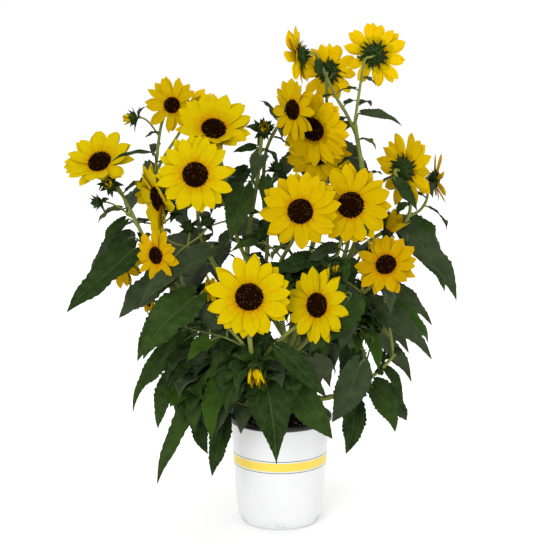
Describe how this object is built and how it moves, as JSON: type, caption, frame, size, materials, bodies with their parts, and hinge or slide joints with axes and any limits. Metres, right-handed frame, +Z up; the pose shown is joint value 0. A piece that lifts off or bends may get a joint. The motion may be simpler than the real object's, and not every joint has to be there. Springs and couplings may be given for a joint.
{
  "type": "potted sunflower plant",
  "caption": "Branching sunflower plant in full flower in a round plastic nursery pot, with drooping pointed leaves and dark-centred yellow flower heads.",
  "frame": {"origin": "middle of the pot's flat underside", "axes": "+Z up, the plant's front towards -Y, +X to the right seen from the front"},
  "size_m": [0.6103, 0.46, 0.7948],
  "materials": {
    "pot_wall": "satin white moulded plastic with a printed band",
    "pot_lip": "black moulded plastic, slightly glossy",
    "potting_mix": "dark crumbly potting mix",
    "stem": "green ribbed stem with fine hairs",
    "leaf": "matt dark green leaf, paler on its veins",
    "ray_petal": "lemon yellow petal, golden at its foot",
    "disc": "near black disc of small florets with brown gold tips",
    "bract": "hairy green bract"
  },
  "bodies": {
    "root": {"bough_centre": "stem", "bough_centre_rear": "stem", "bough_front": "stem", "bough_left": "stem", "bough_left_inner": "stem", "bough_low_right": "stem", "bough_lower_right": "stem", "bough_rear_left": "stem", "bough_rear_right": "stem", "bough_right": "stem", "bough_right_edge": "stem", "bough_right_middle": "stem", "bough_tall_centre": "stem", "bough_tall_right": "stem", "bough_top_left": "stem", "bough_top_right": "stem", "bough_upper_front": "stem", "bough_upper_front_right": "stem", "bough_upper_left": "stem", "foliage_centre": "leaf", "foliage_centre_upper": "leaf", "foliage_far_left": "leaf", "foliage_far_right": "leaf", "foliage_front_skirt": "leaf", "foliage_left_shoulder": "leaf", "foliage_left_skirt": "leaf", "foliage_rear_left": "leaf", "foliage_rear_right": "leaf", "foliage_right_middle": "leaf", "foliage_right_skirt": "leaf", "foliage_tall_cluster": "leaf", "foliage_tall_fork": "leaf", "foliage_upper_left": "leaf", "head_left_crown": "ray_petal", "head_left_low": "ray_petal", "head_left_side": "ray_petal", "head_left_top": "ray_petal", "head_low_left": "ray_petal", "head_low_right": "ray_petal", "head_middle_left": "ray_petal", "head_rear_left": "ray_petal", "head_rear_low": "ray_petal", "head_rear_right": "ray_petal", "head_rear_side": "ray_petal", "head_rear_top": "ray_petal", "head_right_edge": "ray_petal", "head_right_middle": "ray_petal", "head_right_turned": "ray_petal", "head_side_left": "ray_petal", "head_tall_large": "ray_petal", "head_tall_lower": "ray_petal", "head_tall_small": "ray_petal", "head_top_middle": "ray_petal", "head_top_right": "ray_petal", "head_upper_front": "ray_petal", "head_upper_front_right": "ray_petal", "head_upper_left": "ray_petal", "main_stem": "stem", "pot": "pot_wall", "potting_mix": "potting_mix"}
  },
  "joints": []
}
